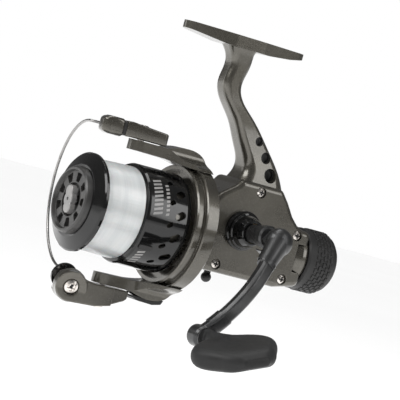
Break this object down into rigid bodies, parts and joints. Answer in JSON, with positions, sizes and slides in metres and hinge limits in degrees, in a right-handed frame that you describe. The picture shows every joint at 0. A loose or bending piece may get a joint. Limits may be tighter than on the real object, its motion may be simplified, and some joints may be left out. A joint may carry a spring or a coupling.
{
  "type": "spinning reel",
  "caption": "Rear-drag spinning reel with a geared rotor, folding crank handle, swinging bail, reciprocating spool and wound line, on a stem and foot.",
  "frame": {"origin": "centre of the foot's seat, the face that lies against the rod", "axes": "+X along the rod to its tip, +Y to the handle side, +Z away from the reel, out of the seat"},
  "size_m": [0.1359, 0.1272, 0.1405],
  "materials": {
    "gunmetal_lacquer": "metallic lacquer on composite, glossy",
    "gloss_black": "polished black",
    "matte_black": "fine texture, black",
    "grey_plastic": "satin grey",
    "fibre": "greased fibre",
    "acetal": "natural",
    "soft_touch": "soft-touch dark grey",
    "dark_alloy": "anodised dark grey, satin",
    "zinc": "die-cast zinc alloy",
    "brass": "machined",
    "steel": "bright",
    "nickel": "nickel-plated",
    "line": "clear nylon monofilament, wound"
  },
  "bodies": {
    "housing": {"body_housing": "gunmetal_lacquer", "side_cover": "gunmetal_lacquer", "side_cover_screws": "nickel", "boss_cover": "gloss_black", "crank_bushes": "brass", "bearing_outer_race": "steel", "bearing_balls": "steel", "bearing_retainer": "steel", "retainer_screws": "nickel", "oscillation_axle": "steel", "slider_guide_rod": "steel", "pawl_pin": "steel", "drag_eared_washers": "steel", "drag_spring": "steel", "drag_thrust_washer": "steel"},
    "crank": {"crank_shaft": "steel", "drive_gear": "zinc", "oscillation_pinion": "zinc", "crank_cap": "gloss_black", "handle_neck": "matte_black", "handle_clevis": "dark_alloy"},
    "handle": {"handle_arm": "dark_alloy", "fold_pin": "steel", "knob_spindle": "steel"},
    "knob": {"handle_knob": "soft_touch", "knob_collar": "dark_alloy"},
    "rotor": {"rotor": "gunmetal_lacquer", "arm_cover": "matte_black", "arm_cover_screw": "nickel", "rotor_washer": "steel", "rotor_nut": "brass", "pinion_gear": "brass", "ratchet_wheel": "steel", "bearing_inner_race": "steel", "bail_pivot_screws": "nickel", "bail_spring": "steel"},
    "oscillation": {"oscillation_gear": "zinc"},
    "slider": {"oscillation_slider": "acetal"},
    "spool": {"main_shaft": "steel", "shaft_clips": "steel", "spool": "gloss_black", "line_winding": "line", "spool_cap": "gloss_black", "line_clip": "matte_black", "button_spring": "steel"},
    "button": {"spool_button": "grey_plastic"},
    "drag_stack": {"drag_hub": "fibre", "drag_keyed_washers": "fibre"},
    "drag_knob": {"drag_knob": "matte_black"},
    "bail": {"bail_holder": "gunmetal_lacquer", "roller_lever": "gunmetal_lacquer", "bail_wire": "steel", "wire_cap": "gloss_black", "roller_screw": "nickel", "roller_bush": "acetal"},
    "line_roller": {"line_roller": "nickel"},
    "anti_reverse_lever": {"anti_reverse_lever": "matte_black"},
    "anti_reverse_pawl": {"anti_reverse_pawl": "steel"}
  },
  "joints": [
    {"name": "crank_turn", "type": "hinge", "parent": "housing", "child": "crank", "pos_m": [-0.0171, 0, -0.08165], "axis": [0, 1, 0], "continuous": true},
    {"name": "rotor_spin", "type": "hinge", "parent": "housing", "child": "rotor", "pos_m": [0, 0, -0.0874], "axis": [1, 0, 0], "continuous": true},
    {"name": "oscillation_turn", "type": "hinge", "parent": "housing", "child": "oscillation", "pos_m": [-0.0327, 0, -0.08165], "axis": [0, 1, 0], "continuous": true},
    {"name": "spool_stroke", "type": "slide", "parent": "housing", "child": "slider", "axis": [1, 0, 0], "range_m": [-0.0025, 0.009]},
    {"name": "drag_slip", "type": "hinge", "parent": "slider", "child": "spool", "pos_m": [0, 0, -0.0874], "axis": [1, 0, 0], "continuous": true},
    {"name": "button_press", "type": "slide", "parent": "spool", "child": "button", "axis": [1, 0, 0], "range_m": [-0.0015, 0], "stiffness_N_per_m": 300, "deforming": ["button_spring"]},
    {"name": "drag_stack_turn", "type": "hinge", "parent": "housing", "child": "drag_stack", "pos_m": [0, 0, -0.0874], "axis": [1, 0, 0], "continuous": true},
    {"name": "drag_knob_turn", "type": "hinge", "parent": "housing", "child": "drag_knob", "pos_m": [0, 0, -0.0874], "axis": [1, 0, 0], "range_deg": [-360, 360]},
    {"name": "bail_swing", "type": "hinge", "parent": "rotor", "child": "bail", "pos_m": [0.0374, 0, -0.0874], "axis": [0, 0, 1], "range_deg": [0, 115]},
    {"name": "line_roller_spin", "type": "hinge", "parent": "bail", "child": "line_roller", "pos_m": [0.05335, -0.00281, -0.1212], "axis": [-0.1674, -0.9494, 0.2656], "continuous": true},
    {"name": "anti_reverse_turn", "type": "hinge", "parent": "housing", "child": "anti_reverse_lever", "pos_m": [-0.0126, 0, -0.0983], "axis": [1, 0, 0], "range_deg": [0, 25]},
    {"name": "pawl_swing", "type": "hinge", "parent": "housing", "child": "anti_reverse_pawl", "pos_m": [0.006, -0.0062, -0.0954], "axis": [1, 0, 0], "range_deg": [0, 10]},
    {"name": "handle_fold", "type": "hinge", "parent": "crank", "child": "handle", "pos_m": [-0.0171, 0.0422, -0.08165], "axis": [0.8554, 0, 0.518], "range_deg": [-25, 0]},
    {"name": "knob_spin", "type": "hinge", "parent": "handle", "child": "knob", "pos_m": [0.0115, 0.0454, -0.12887], "axis": [0, 1, 0], "continuous": true}
  ],
  "couplings": [
    {"joint": "rotor_spin", "follows": "crank_turn", "ratio": -4.8889},
    {"joint": "oscillation_turn", "follows": "crank_turn", "ratio": -0.5},
    {"joint": "drag_stack_turn", "follows": "drag_slip", "ratio": 1},
    {"joint": "pawl_swing", "follows": "anti_reverse_turn", "ratio": 0.4}
  ]
}
